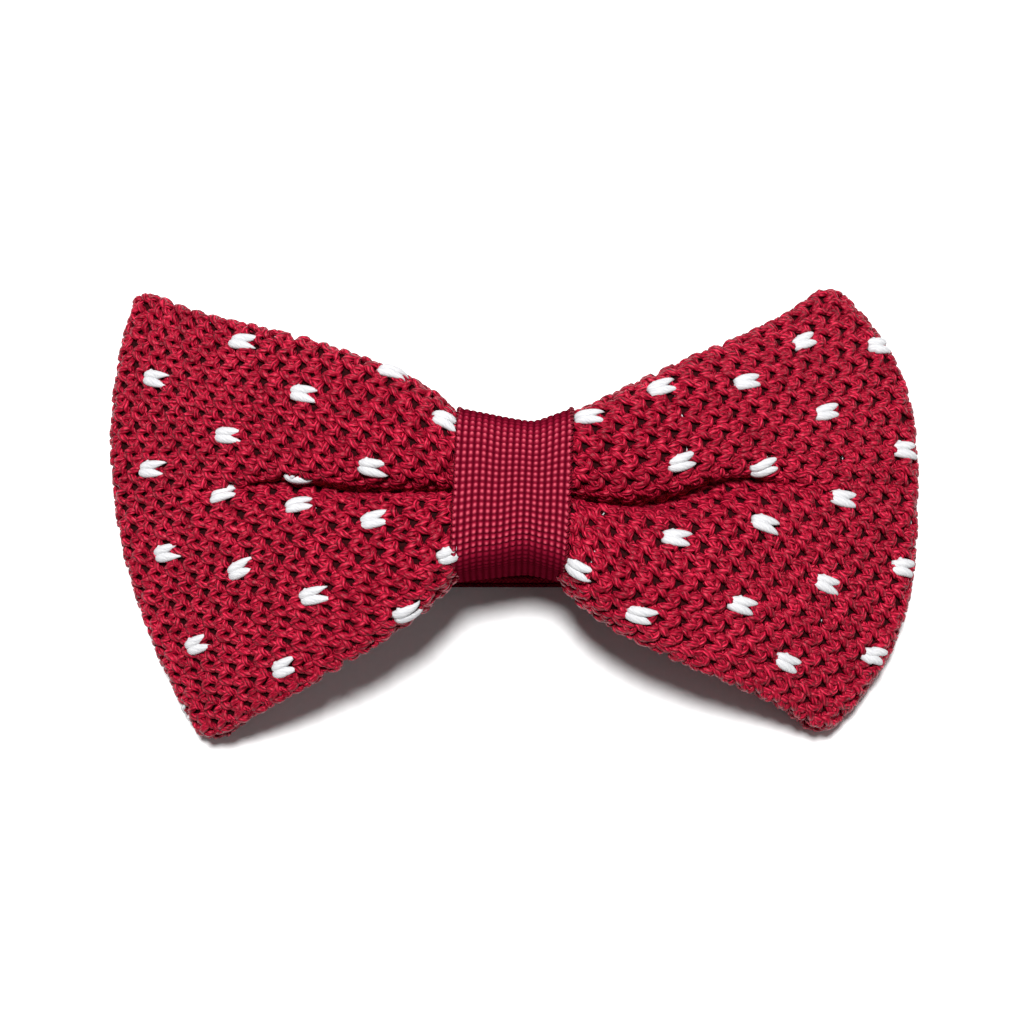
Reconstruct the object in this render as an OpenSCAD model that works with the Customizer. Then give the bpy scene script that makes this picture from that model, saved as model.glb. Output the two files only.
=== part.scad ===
// Knitted bow tie lying face up, with its neck strap folded flat behind it.
// +X runs to the wearer's left, +Y to the top edge of the bow, +Z out of its face.
// The origin is on the resting surface, under the middle of the bow.

/* [Wings] */
// Distance from the middle to the left wing's top corner
left_top_x = 57; // [50:0.5:62]
// Height of the left wing's top corner
left_top_y = 31.4; // [28:0.2:36]
// Distance from the middle to the left wing's bottom corner
left_bottom_x = 45.5; // [42:0.5:60]
// Height of the left wing's bottom corner
left_bottom_y = -33; // [-36:0.2:-28]
// Reach of the left wing at mid height
left_middle_x = 58.6; // [52:0.2:62]
// Distance from the middle to the right wing's top corner
right_top_x = 50; // [42:0.5:60]
// Height of the right wing's top corner
right_top_y = 32.2; // [28:0.2:36]
// Distance from the middle to the right wing's bottom corner
right_bottom_x = 47.2; // [42:0.2:60]
// Height of the right wing's bottom corner
right_bottom_y = -31; // [-36:0.2:-28]
// Reach of the right wing at mid height
right_middle_x = 60; // [52:0.2:62]
// Thickness of the flattened knitted tube, two layers of knit
knit_t = 2.6; // [2:0.1:3]
// Depth of the crease along the middle of each wing
crease_depth = 5.2; // [3:0.1:5.5]
// Height of the tube's middle over the surface at the wing tips
tip_z = 3.9; // [3.7:0.1:6]

/* [Knot] */
// Width of the knot band
band_w = 16.5; // [14:0.5:20]
// Height of the knot band over its outside
band_h = 25; // [24:0.5:28]
// Thickness of the knot band's cloth
band_t = 0.8; // [0.6:0.05:0.9]
// Depth of the pinched knit inside the band
knot_depth = 12.6; // [12:0.1:15]
// How far the band is drawn in at its waist
waist_in = 2.4; // [0:0.1:2.6]

/* [Strap] */
// Width of the neck strap
strap_w = 16; // [12:0.5:16]
// Thickness of the neck strap
strap_t = 0.7; // [0.5:0.05:0.8]
// Reach of the folded strap towards the left wing
hank_left = 30; // [28:0.5:31]
// Reach of the folded strap towards the right wing
hank_right = 32; // [31.5:0.5:33]
// How far the folded strap lies below the middle of the knot
hank_y = -2.8; // [-3:0.1:0]

/* [Hardware] */
// Thickness of the slide's plate
plate_t = 0.8; // [0.6:0.1:1]
// Place of the slide along the strap
slide_x = -16; // [-18:0.5:-14]
// Place of the bar that the hook hangs on
hook_x = 9.8; // [8:0.2:10]
// Place of the bar that the eye hangs on
eye_x = 26.5; // [26.4:0.1:27]
// Width of the side rails of the slide, hook and eye
rail_w = 1; // [0.8:0.1:1.4]

/* [Hidden] */

crimson = [0.55, 0.08, 0.16];
dark_crimson = [0.4, 0.04, 0.1];
white_yarn = [0.93, 0.92, 0.9];
steel = [0.75, 0.75, 0.77];

// Levels of the folded strap, from the resting surface up
ply_gap = 0.12;
ply = strap_t + ply_gap;
z_lower = strap_t / 2;
z_run = z_lower + ply;
z_plate = 2 * ply + plate_t / 2;
z_over_bar = 2 * ply + plate_t + ply_gap + strap_t / 2;
z_bump = z_over_bar + ply;
z_store = z_bump + ply + ply_gap;
z_band_outer = z_store + 3 * ply + strap_t / 2 + 0.75;
band_ply_gap = 0.1;
z_band_inner = z_band_outer + band_t + band_ply_gap;
z_through = z_band_inner + band_t + 0.2 + strap_t / 2;
z_knit_back = z_through + strap_t / 2 + 0.25;

// Middle surfaces of the two runs of knitted tube
z_back = z_knit_back + knit_t / 2;
z_crest = z_knit_back + knot_depth - knit_t / 2;
fold_r = 2.15;
knot_reach = 0.16;
half_cloth = 33;
crest_drop = 2;
knot_half = band_h / 2 - band_t - knit_t / 2 - 0.5;
knot_waist_half = knot_half - 1.9;
back_half = 7.6;

// Smooth ramp: 0 below zero, x above it, rounded over the width e
function ramp(x, e) = (x + sqrt(x * x + e * e)) / 2;
function mix(a, b, t) = a + (b - a) * t;
function clamp01(x) = min(1, max(0, x));
function ease(x) = let (c = clamp01(x)) c * c * (3 - 2 * c);

// Reach of a wing's outer fold across the cloth, v from -1 (bottom) to 1 (top)
function reach(side, v) =
    side < 0
    ? left_middle_x + (left_top_x - left_bottom_x) / 2 * v
        + ((left_top_x + left_bottom_x) / 2 - left_middle_x) * pow(abs(v), 2)
    : right_middle_x + (right_top_x - right_bottom_x) / 2 * v
        + ((right_top_x + right_bottom_x) / 2 - right_middle_x) * pow(abs(v), 3);

// Each wing edge: how it bows, how far its corner flicks out, and how far it is pinched at the knot
left_top_edge = [0.6, 3, 0];
left_bottom_edge = [0.6, 0, 2.5];
right_top_edge = [1, 3, 0.2];
right_bottom_edge = [0.5, 1.5, 0.9];

// How far a wing has opened, from 0 at the knot to 1 at its outer fold
function opened(a) = clamp01((a - knot_reach) / (1 - knot_reach));

// Half height of the pinched knit under the band
function knot_edge(a) = mix(knot_waist_half, knot_half, ease(a / knot_reach));

// Height of the wing's top or bottom edge
function wing_edge(side, a, top) =
    let (q = opened(a), way = top ? 1 : -1,
        corner_y = side < 0 ? (top ? left_top_y : left_bottom_y) : (top ? right_top_y : right_bottom_y),
        shape = side < 0 ? (top ? left_top_edge : left_bottom_edge)
            : (top ? right_top_edge : right_bottom_edge),
        knot_y = way * (knot_edge(a) - shape[2] * ease(a / knot_reach)))
    mix(knot_y, corner_y - way * shape[1], pow(q, shape[0])) + way * shape[1] * pow(q, 7);

// Height of the crease line
function crease_y(side, a) = (side < 0 ? 1.5 : 1.2) * opened(a);

function crest_z(a) = mix(z_crest, tip_z + fold_r, pow(opened(a), 1.8));
function back_z(a) = mix(z_back, tip_z - fold_r, pow(opened(a), 2.6));

// Depth of the crease, and of the edges tucked under beside the knot
function crease_at(a) = crease_depth * (1 - pow(clamp01(a / 0.85), 3));
function tuck_at(a) = 4.6 * pow(1 - opened(a), 3);

// A point of the front run's middle surface
function front_point(side, a, v) =
    let (p = abs(v), e = 0.05,
        wall = crease_at(a) / half_cloth, tuck = tuck_at(a) / half_cloth,
        g0 = ramp(-wall, e) - ramp(tuck - 1, e),
        g1 = ramp(1 - wall, e) - ramp(tuck, e),
        g = (ramp(p - wall, e) - ramp(p - 1 + tuck, e) - g0) / (g1 - g0),
        crease = crease_at(a) * ramp(wall - p, e) / ramp(wall, e),
        tucked = tuck_at(a) * ramp(p - 1 + tuck, e) / ramp(tuck, e),
        crown = crest_drop * (1 - 4 * g * (1 - g)) * (1 - opened(a)))
    [side * a * (reach(side, v) - fold_r - knit_t / 2),
     mix(crease_y(side, a), wing_edge(side, a, v > 0), g),
     crest_z(a) - crease - tucked - crown];

// A point of the back run's middle surface
function back_point(side, a, v) =
    let (edge = wing_edge(side, a, v > 0), narrow = mix(back_half / knot_half, 1, opened(a)))
    [side * max(0.3, a * (reach(side, v) - fold_r - knit_t / 2)),
     mix(crease_y(side, a), edge * narrow, abs(v)),
     back_z(a)];

// A point of the rounded outer fold, turn from -90 (back) to 90 (front)
function fold_point(side, turn, v) =
    let (edge = v > 0 ? wing_edge(side, 1, true) : wing_edge(side, 1, false))
    [side * (reach(side, v) - fold_r - knit_t / 2 + fold_r * cos(turn)),
     mix(crease_y(side, 1), edge, abs(v)),
     tip_z + fold_r * sin(turn)];

across = 11;
along = 14;
fold_steps = 5;
v_list = [for (j = [-across : across]) j / across];
a_list = [for (i = [0 : along]) i / along];
turn_list = [for (k = [1 : fold_steps]) -90 + 180 * k / (fold_steps + 1)];

knit_rows = concat(
    [for (i = [0 : along]) [for (v = v_list) back_point(-1, a_list[i], v)]],
    [for (turn = turn_list) [for (v = v_list) fold_point(-1, turn, v)]],
    [for (i = [along : -1 : 1]) [for (v = v_list) front_point(-1, a_list[i], v)]],
    [for (i = [0 : along]) [for (v = v_list) front_point(1, a_list[i], v)]],
    [for (k = [fold_steps - 1 : -1 : 0]) [for (v = v_list) fold_point(1, turn_list[k], v)]],
    [for (i = [along : -1 : 0]) [for (v = v_list) back_point(1, a_list[i], v)]]);

// Unit normal of a grid of points at row i, column j
function grid_normal(rows, i, j) =
    let (last_i = len(rows) - 1, last_j = len(rows[0]) - 1,
        di = rows[min(i + 1, last_i)][j] - rows[max(i - 1, 0)][j],
        dj = rows[i][min(j + 1, last_j)] - rows[i][max(j - 1, 0)],
        n = cross(di, dj))
    n / norm(n);

// A closed slab of thickness t whose middle surface is the grid of points
module slab(rows, t) {
    count_i = len(rows);
    count_j = len(rows[0]);
    ring = 2 * count_j;
    points = [for (i = [0 : count_i - 1])
        for (k = [0 : ring - 1])
            let (j = k < count_j ? k : ring - 1 - k, side = k < count_j ? 1 : -1)
            rows[i][j] + side * t / 2 * grid_normal(rows, i, j)];
    sides = [for (i = [0 : count_i - 2])
        for (k = [0 : ring - 1])
            let (a = i * ring + k, b = i * ring + (k + 1) % ring)
            for (face = [[a, b, b + ring], [a, b + ring, a + ring]]) face];
    last = (count_i - 1) * ring;
    caps = [for (j = [0 : count_j - 2])
        let (k = ring - 1 - j)
        for (face = [[j, k, j + 1], [j + 1, k, k - 1],
                     [last + j, last + j + 1, last + k], [last + j + 1, last + k - 1, last + k]]) face];
    polyhedron(points = points, faces = concat(sides, caps), convexity = 10);
}

module knitted_bow() {
    color(crimson) slab(knit_rows, knit_t);
}

// One lobe of a stitch: a spindle from one point to another
module spindle(from, to, r) {
    axis = to - from;
    side = cross(axis, [0, 0, 1]) / norm(cross(axis, [0, 0, 1]));
    up = cross(side, axis) / norm(axis);
    middle = [for (k = [0 : 5]) mix(from, to, 0.45) + r * (cos(60 * k) * side + sin(60 * k) * up)];
    polyhedron(points = concat([from], middle, [to]),
        faces = concat([for (k = [0 : 5]) [0, 1 + k, 1 + (k + 1) % 6]],
                       [for (k = [0 : 5]) [7, 1 + (k + 1) % 6, 1 + k]]));
}

stitch_r = 0.55;
stitch_columns = 4;
stitch_pitch = 0.44;

// Outer surface of the front run, raised by lift
function face_point(side, a, v, lift) =
    let (d = 0.01,
        n = cross(front_point(side, a + d, v) - front_point(side, a - d, v),
                  front_point(side, a, v + d) - front_point(side, a, v - d)))
    front_point(side, a, v) + side * n / norm(n) * (knit_t / 2 + lift);

// Each white stitch is a V that opens towards +X
module contrast_stitches() {
    color(white_yarn)
    for (side = [-1, 1], column = [0 : stitch_columns - 1], row = [-2 : 2])
        let (a = 0.32 + 0.19 * column, v = (row + (column % 2 == 0 ? -0.14 : 0.3)) * stitch_pitch,
            lift = stitch_r + 0.15, tip = face_point(side, a - side * 0.03, v, lift))
            if (abs(v) < 0.93 && abs(v) > 0.08)
                for (lobe = [-1, 1])
                    spindle(tip + [0, lobe * 0.15, 0],
                            face_point(side, a + side * 0.025, v + lobe * 0.035, lift), stitch_r);
}

// A straight stitch of thread with round ends
module thread_stitch(from, to, r) {
    axis = to - from;
    length = norm(axis);
    translate(from)
        rotate([0, acos(axis[2] / length), atan2(axis[1], axis[0])]) {
            cylinder(h = length, r = r, $fn = 16);
            sphere(r = r, $fn = 16);
            translate([0, 0, length]) sphere(r = r, $fn = 16);
        }
}

seam_thread_r = 0.22;

// Whip stitches over the meeting ends of the knitted tube, inside the loop
module loop_seam() {
    z = z_back + knit_t / 2 + seam_thread_r + 0.05;
    color(dark_crimson)
    for (k = [-2 : 2])
        thread_stitch([-1, 2.6 * k - 0.3, z], [1, 2.6 * k + 0.3, z], seam_thread_r);
}

// Closed section round the knot: turn 90 is the middle of the front, -90 the middle of the back
function section_point(x, turn, half_h, waist, z_mid, half_z, outset) =
    let (s = sin(turn), c = cos(turn), power = s > 0 ? 2 / 3 : 2 / 8,
        drawn = waist * (1 - pow(min(1, abs(x) / (band_w / 2)), 2)) * (0.75 + 0.25 * s),
        hy = half_h - drawn + outset, hz = half_z + outset)
    [x, hy * sign(c) * pow(abs(c), power), z_mid + hz * sign(s) * pow(abs(s), power)];

band_front = z_knit_back + knot_depth + 0.1 + band_t / 2;
band_back = z_band_inner + band_t / 2;
band_mid = (band_front + band_back) / 2;
band_half_z = (band_front - band_back) / 2;
band_half_y = band_h / 2 - band_t / 2;
lap_turn = 5;
band_x = [for (k = [-4 : 4]) k / 4 * band_w / 2];

// One turn round the knot, and a lap of both ends at the middle of the back
band_rows = [for (turn = [-90 - lap_turn : 5 : 270 + lap_turn])
    let (outset = (band_t + band_ply_gap) * ease((turn - 215) / 20))
    [for (x = band_x) section_point(x, turn, band_half_y, waist_in, band_mid, band_half_z, outset)]];

module knot_band() {
    color(crimson) slab(band_rows, band_t);
}

tack_t = 0.3;

// Gathering thread wound three times round the pinched knit
module centre_tack() {
    color(dark_crimson)
    for (x = [-1.6, 0, 1.6])
        let (rows = [for (turn = [-90 : 10 : 270])
                [for (dx = [-0.3, 0.3])
                    section_point(x + dx, turn, band_half_y, waist_in, band_mid, band_half_z,
                                  -band_t / 2 - tack_t / 2 - 0.05)
                        + [0, 0, turn <= -30 || turn >= 210 ? strap_t + 0.3 : 0]]])
            slab(rows, tack_t);
}

// Slip stitches along the lapped end of the band
module band_seam() {
    z = z_band_outer - seam_thread_r - 0.03;
    y = band_half_y * pow(sin(lap_turn), 0.25);
    color(dark_crimson)
    for (k = [-3 : 3])
        thread_stitch([2.4 * k - 0.5, y - 1.1, z], [2.4 * k + 0.5, y + 0.5, z], seam_thread_r);
}

// Points of an arc in the XZ plane
function arc(cx, cz, r, from, to, steps) =
    [for (k = [0 : steps]) let (t = mix(from, to, k / steps)) [cx + r * cos(t), cz + r * sin(t)]];

// Side shift of the strap: none inside the knot, hank_y where it is folded
function strap_shift(p) = hank_y * (p[1] < z_through - 2.4 ? 1 : ease((abs(p[0]) - 13) / 15));

// A flat strap along a route in the XZ plane
module strap(route, shifted = true) {
    slab([for (p = route)
        let (y = shifted ? strap_shift(p) : hank_y)
        [[p[0], y + strap_w / 2, p[1]], [p[0], y - strap_w / 2, p[1]]]], strap_t);
}

bar_r = 0.4;
loop_r = bar_r + ply_gap + strap_t / 2;
z_bar = z_lower + loop_r;
z_bar_top = z_bar + loop_r;
hank_low = z_through - 2.4;
inner_x = hank_right - 3;
store = [for (k = [0 : 3]) z_store + k * ply];
turn_r = ply / 2;
big_r = (hank_low - z_run) / 2;
left_r = (hank_low - store[3]) / 2;
last_r = (store[0] - z_run) / 2;
tail_x = -26;

neck_route = concat(
    [[hank_right, z_lower], [eye_x + 1.5, z_lower]],
    arc(eye_x, z_bar, loop_r, -90, -270, 8),
    [[eye_x + 1.2, z_bar_top], [eye_x + 3, z_run]],
    arc(hank_right, z_run + big_r, big_r, -90, 90, 12),
    [[22, mix(hank_low, z_through, 0.55)], [14, z_through], [0, z_through], [-14, z_through],
     [-22, mix(hank_low, z_through, 0.55)]],
    arc(-hank_left, store[3] + left_r, left_r, 90, 270, 8),
    arc(inner_x, store[2] + turn_r, turn_r, 90, -90, 8),
    arc(-hank_left, store[1] + turn_r, turn_r, 90, 270, 8),
    arc(inner_x, store[0] + turn_r, turn_r, 90, -90, 8),
    arc(-hank_left, z_run + last_r, last_r, 90, 270, 10),
    [[tail_x, z_run]]);

// The strap climbs over the slide's middle bar and goes down again
climb = [[4, z_run], [3, z_run + 0.5], [2, z_bump - 0.45], [1.2, z_bump]];

tail_route = concat([[tail_x, z_run]], [for (c = climb) [slide_x - c[0], c[1]]], [[slide_x, z_bump]]);

loop_route = concat(
    [[slide_x, z_bump]],
    [for (k = [3 : -1 : 0]) [slide_x + climb[k][0], climb[k][1]]],
    [[hook_x - 4.2, z_run], [hook_x - 2.2, z_bar_top]],
    arc(hook_x, z_bar, loop_r, 90, -90, 8),
    [[hook_x - 1.5, z_lower], [slide_x + 3, z_lower]]);

adjuster_route = concat(
    [[slide_x + 3, z_lower], [slide_x + 2, z_lower], [slide_x + 0.8, z_run]],
    arc(slide_x - 0.2, z_plate, plate_t / 2 + ply_gap + strap_t / 2, -90, -270, 8),
    [[slide_x + 0.7, z_over_bar]]);

module neck_strap() {
    color(dark_crimson) strap(neck_route);
}

module strap_tail() {
    color(dark_crimson) strap(tail_route, false);
}

module strap_loop() {
    color(dark_crimson) strap(loop_route, false);
}

module adjuster_loop() {
    color(dark_crimson) strap(adjuster_route, false);
}

tack_thread_r = 0.16;

// Zigzag bar tack through the plies of a sewn loop
module bar_tack(x, z) {
    for (k = [-9 : 9])
        thread_stitch([x - 0.7, hank_y + 0.75 * k, z], [x + 0.7, hank_y + 0.75 * k, z], tack_thread_r);
}

module eye_tack() {
    color(dark_crimson) bar_tack(eye_x + 4.4, z_run + strap_t / 2 + tack_thread_r);
}

module adjuster_tack() {
    color(dark_crimson) bar_tack(slide_x + 2.2, z_lower + 0.05);
}

// Flat shape of a plate with round corners, centred on x, y
module rounded(x, y, w, h, r) {
    translate([x - w / 2 + r, y - h / 2]) square([w - 2 * r, h]);
    translate([x - w / 2, y - h / 2 + r]) square([w, h - 2 * r]);
    for (sx = [-1, 1], sy = [-1, 1])
        translate([x + sx * (w / 2 - r), y + sy * (h / 2 - r)]) circle(r = r, $fn = 32);
}

slot_h = strap_w + 0.6;
frame_h = slot_h + 2 * rail_w;
corner_r = 0.8;

// Flat three-bar slide: two slots and a middle bar
module slide_adjuster() {
    slot_w = 3.6;
    bar_w = 1;
    color(steel)
    translate([slide_x, hank_y, z_plate - plate_t / 2])
        linear_extrude(plate_t)
            difference() {
                rounded(0, 0, 2 * slot_w + 3 * bar_w, frame_h, corner_r);
                for (side = [-1, 1])
                    rounded(side * (slot_w + bar_w) / 2, 0, slot_w, slot_h, 0.4);
            }
}

// Plate with one window and one round bar, the bar on its pivot at x = 0
module loop_frame(window_w, cross_w, direction) {
    behind = 0.8;
    outer = behind + window_w + cross_w;
    translate([0, 0, -plate_t / 2])
        linear_extrude(plate_t)
            difference() {
                rounded(direction * (outer / 2 - behind), 0, outer, frame_h, corner_r);
                translate([direction * (window_w - behind - 1) / 2 - (window_w + behind + 1) / 2, -slot_h / 2])
                    square([window_w + behind + 1, slot_h]);
            }
    rotate([90, 0, 0])
        translate([0, 0, -slot_h / 2 - rail_w / 2])
            cylinder(h = slot_h + rail_w, r = bar_r, $fn = 32);
}

// Hook: its tongue runs out past the frame and curls back over itself
module hook() {
    window_w = 3;
    cross_w = 1.4;
    tongue_w = 8;
    bend_r = 1.1;
    tongue_x = 6.5;
    color(steel)
    translate([hook_x, hank_y, z_bar]) {
        loop_frame(window_w, cross_w, 1);
        translate([window_w, -tongue_w / 2, -plate_t / 2])
            cube([tongue_x - window_w, tongue_w, plate_t]);
        translate([tongue_x, tongue_w / 2, bend_r])
            rotate([90, 0, 0])
                linear_extrude(tongue_w)
                    intersection() {
                        difference() {
                            circle(r = bend_r + plate_t / 2, $fn = 48);
                            circle(r = bend_r - plate_t / 2, $fn = 48);
                        }
                        translate([0, -bend_r - plate_t]) square([3, 2 * bend_r + 2 * plate_t]);
                    }
        translate([tongue_x - 2.6, -tongue_w / 2, 2 * bend_r - plate_t / 2])
            cube([2.6, tongue_w, plate_t]);
    }
}

// Eye: a plain frame; the hook's tongue goes through its window
module eye() {
    color(steel)
    translate([eye_x, hank_y, z_bar])
        loop_frame(5.6, 1.2, -1);
}

knitted_bow();
contrast_stitches();
loop_seam();
centre_tack();
knot_band();
band_seam();
neck_strap();
strap_tail();
strap_loop();
adjuster_loop();
adjuster_tack();
eye_tack();
slide_adjuster();
hook();
eye();
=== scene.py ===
"""Looks of the knitted bow tie: yarn by yarn knit, beaded band, ribbed strap and plated hardware.

Lengths are in millimetres until a mesh is made; MM turns them into metres. A wing's side is -1 for
the left one and 1 for the right one. On a wing, a runs from 0 at the middle of the knot to 1 at the
outer fold, and v from -1 at the bottom edge to 1 at the top edge.
"""
import math

import bpy
import numpy as np
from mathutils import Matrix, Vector


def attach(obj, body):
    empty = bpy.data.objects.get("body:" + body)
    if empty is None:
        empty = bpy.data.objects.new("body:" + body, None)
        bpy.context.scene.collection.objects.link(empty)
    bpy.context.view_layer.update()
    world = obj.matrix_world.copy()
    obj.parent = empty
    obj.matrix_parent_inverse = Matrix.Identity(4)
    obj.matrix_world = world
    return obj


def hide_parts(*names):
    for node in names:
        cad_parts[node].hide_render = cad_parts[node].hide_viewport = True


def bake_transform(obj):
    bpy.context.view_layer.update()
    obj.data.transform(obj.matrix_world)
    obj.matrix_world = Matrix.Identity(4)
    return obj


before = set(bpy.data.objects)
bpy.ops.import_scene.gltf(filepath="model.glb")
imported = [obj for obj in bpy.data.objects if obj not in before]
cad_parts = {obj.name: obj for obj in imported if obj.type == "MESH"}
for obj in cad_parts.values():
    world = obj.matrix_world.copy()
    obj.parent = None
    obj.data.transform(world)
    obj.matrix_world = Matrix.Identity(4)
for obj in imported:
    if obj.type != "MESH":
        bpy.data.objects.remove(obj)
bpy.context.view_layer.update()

MM = 0.001
# No yarn is let below this height, just over the surface that the tie lies on
REST_Z = 0.03
rng = np.random.default_rng(7)


# ---------------------------------------------------------------- camera

CAMERA_TILT = math.radians(11)
CAMERA_DISTANCE = 0.3578
CAMERA_TARGET = Vector((0, 0, 3.2 * MM))
CAMERA_LENS = 85
CAMERA_SENSOR = 36


def make_camera():
    data = bpy.data.cameras.new("camera")
    data.lens = CAMERA_LENS
    data.sensor_width = CAMERA_SENSOR
    camera = bpy.data.objects.new("camera", data)
    back = Vector((0, -math.sin(CAMERA_TILT), math.cos(CAMERA_TILT)))
    camera.location = CAMERA_TARGET + CAMERA_DISTANCE * back
    camera.rotation_euler = (CAMERA_TILT, 0, 0)
    bpy.context.scene.collection.objects.link(camera)
    bpy.context.scene.camera = camera


make_camera()


# ---------------------------------------------------------------- helpers

def mix(a, b, t):
    return a + (b - a) * t


def clamp01(x):
    return np.clip(x, 0, 1)


def ease(x):
    """Smooth step from 0 to 1."""
    c = clamp01(x)
    return c * c * (3 - 2 * c)


def ramp(x, e=0.05):
    """0 where x is negative and x elsewhere, with a rounded corner of width e."""
    return (x + np.sqrt(x * x + e * e)) / 2


def unit(x):
    return x / (np.linalg.norm(x, axis=-1, keepdims=True) + 1e-12)


def stacked(x, y, z):
    return np.stack(np.broadcast_arrays(x, y, z), axis=-1)


def measured(path):
    """Distance along a path at each of its points."""
    return np.concatenate([[0], np.cumsum(np.linalg.norm(np.diff(path, axis=0), axis=1))])


# ---------------------------------------------------------------- materials

# Noise cells along 1 mm of yarn, cells round one turn of it, and how many of these 1 mm winds round
FIBRE_ALONG = 1.6
FIBRE_ROUND = 13.0
FIBRE_TWIST = 2.2
# Noise cells to 1 m
PATCH_SCALE = 420
WEAVE_SCALE = 2600


class Nodes:
    """A material's node tree, with short calls for the nodes used here."""

    def __init__(self, name):
        self.material = bpy.data.materials.new(name)
        self.material.use_nodes = True
        self.tree = self.material.node_tree
        self.shader = self.tree.nodes["Principled BSDF"]

    def add(self, kind, **values):
        """A new node; each value sets a property of it, or else the input of that name."""
        node = self.tree.nodes.new("ShaderNode" + kind)
        for key, value in values.items():
            if hasattr(node, key):
                setattr(node, key, value)
            else:
                node.inputs[key.replace("_", " ")].default_value = value
        return node

    def link(self, out, into):
        self.tree.links.new(out, into)

    def math(self, operation, a, b=None):
        node = self.add("Math", operation=operation)
        for socket, value in zip(node.inputs, (a, b)):
            if hasattr(value, "is_output"):
                self.link(value, socket)
            elif value is not None:
                socket.default_value = value
        return node.outputs[0]

    def noise(self, scale, detail=2.0, vector=None):
        node = self.add("TexNoise", Scale=scale, Detail=detail)
        if vector is None:
            vector = self.add("TexCoord").outputs["Object"]
        self.link(vector, node.inputs["Vector"])
        return node.outputs["Fac"]

    def colours(self, fac, stops):
        """Colour that runs through the stops, pairs of a place from 0 to 1 and a colour."""
        node = self.add("ValToRGB")
        ends = node.color_ramp.elements
        while len(ends) < len(stops):
            ends.new(0.5)
        for end, (place, colour) in zip(ends, stops):
            end.position = place
            end.color = (*colour, 1)
        self.link(fac, node.inputs["Fac"])
        return node.outputs["Color"]

    def bump(self, height, distance, normal=None):
        node = self.add("Bump", Distance=distance)
        self.link(height, node.inputs["Height"])
        if normal is not None:
            self.link(normal, node.inputs["Normal"])
        return node.outputs["Normal"]

    def yarn_place(self):
        """UV of a yarn: mm along it, and turns round it."""
        uv = self.add("SeparateXYZ")
        self.link(self.add("TexCoord").outputs["UV"], uv.inputs[0])
        return uv.outputs["X"], uv.outputs["Y"]

    def fibres(self):
        """Noise drawn out along the yarn and wound round it."""
        along, round_it = self.yarn_place()
        wound = self.math("ADD", self.math("MULTIPLY", round_it, FIBRE_ROUND),
                          self.math("MULTIPLY", along, FIBRE_TWIST))
        place = self.add("CombineXYZ")
        self.link(self.math("MULTIPLY", along, FIBRE_ALONG), place.inputs["X"])
        self.link(wound, place.inputs["Y"])
        return self.noise(1.0, 3, place.outputs[0])

    def ply_twist(self, turns, pitch):
        """Height of the plies of a twisted yarn."""
        along, round_it = self.yarn_place()
        phase = self.math("ADD", self.math("MULTIPLY", along, 2 * math.pi / pitch),
                          self.math("MULTIPLY", round_it, 2 * math.pi * turns))
        return self.math("SINE", phase)


def yarn_material(name, dark, mid, light, roughness, shine, ply_pitch, ply_depth, turns=6, patch_share=0.2):
    """Silky twisted yarn: fibres streak along it and wind round it with its plies.

    ply_pitch is in mm and ply_depth in m; shine is the strength of its tinted highlights."""
    n = Nodes(name)
    fibre = n.fibres()
    patch = n.noise(PATCH_SCALE, 2)
    ply = n.math("ADD", n.math("MULTIPLY", n.ply_twist(turns, ply_pitch), 0.5), 0.5)
    tone = n.math("ADD", n.math("MULTIPLY", fibre, 0.8 - patch_share),
                  n.math("MULTIPLY", patch, patch_share))
    # Ply crests a little lighter and the grooves between plies darker: painted shade
    tone = n.math("ADD", tone, n.math("MULTIPLY", ply, 0.12))
    n.link(n.colours(tone, [(0.36, dark), (0.5, mid), (0.64, light)]), n.shader.inputs["Base Color"])
    rough = n.math("ADD", n.math("MULTIPLY", fibre, 0.3), roughness - 0.15)
    n.link(rough, n.shader.inputs["Roughness"])
    n.shader.inputs["Specular IOR Level"].default_value = shine
    n.shader.inputs["Specular Tint"].default_value = (*(mix(1, c / max(light), 0.6) for c in light), 1)
    n.link(n.bump(fibre, 0.0001, n.bump(ply, ply_depth)), n.shader.inputs["Normal"])
    return n.material


def beaded_material(name, gap, body, tip):
    """Cord cloth: one turn of both UV coordinates is one bead; painted shade darkens the gaps and painted
    highlights light the tips.

    A second UV map holds where the band faces up and its beads stand out; elsewhere the cords stay dark,
    painted shade."""
    n = Nodes(name)
    along, across = n.yarn_place()
    waves = [n.math("ABSOLUTE", n.math("SINE", n.math("MULTIPLY", place, math.pi)))
             for place in (along, across)]
    relief = n.add("SeparateXYZ")
    n.link(n.add("UVMap", uv_map="Relief").outputs[0], relief.inputs[0])
    # Painted shade on the band's steep slopes: there the cords lose their bead contrast and stay dark
    painted_face_up_light = n.math("ADD", n.math("MULTIPLY", relief.outputs["X"], 0.65), 0.35)
    bead = n.math("MULTIPLY", n.math("ADD", n.math("MULTIPLY", waves[0], 0.75), 0.25), waves[1])
    fibre = n.noise(WEAVE_SCALE, 2)
    tone = n.math("ADD", n.math("MULTIPLY", n.math("MULTIPLY", bead, painted_face_up_light), 0.8),
                  n.math("MULTIPLY", fibre, 0.2))
    # gap is painted shade between the beads, tip a painted highlight on their tops
    n.link(n.colours(tone, [(0.16, gap), (0.56, body), (0.92, tip)]), n.shader.inputs["Base Color"])
    n.link(n.math("ADD", n.math("MULTIPLY", fibre, 0.3), 0.3), n.shader.inputs["Roughness"])
    n.shader.inputs["Specular IOR Level"].default_value = 0
    n.link(n.bump(fibre, 0.00004), n.shader.inputs["Normal"])
    return n.material


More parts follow.
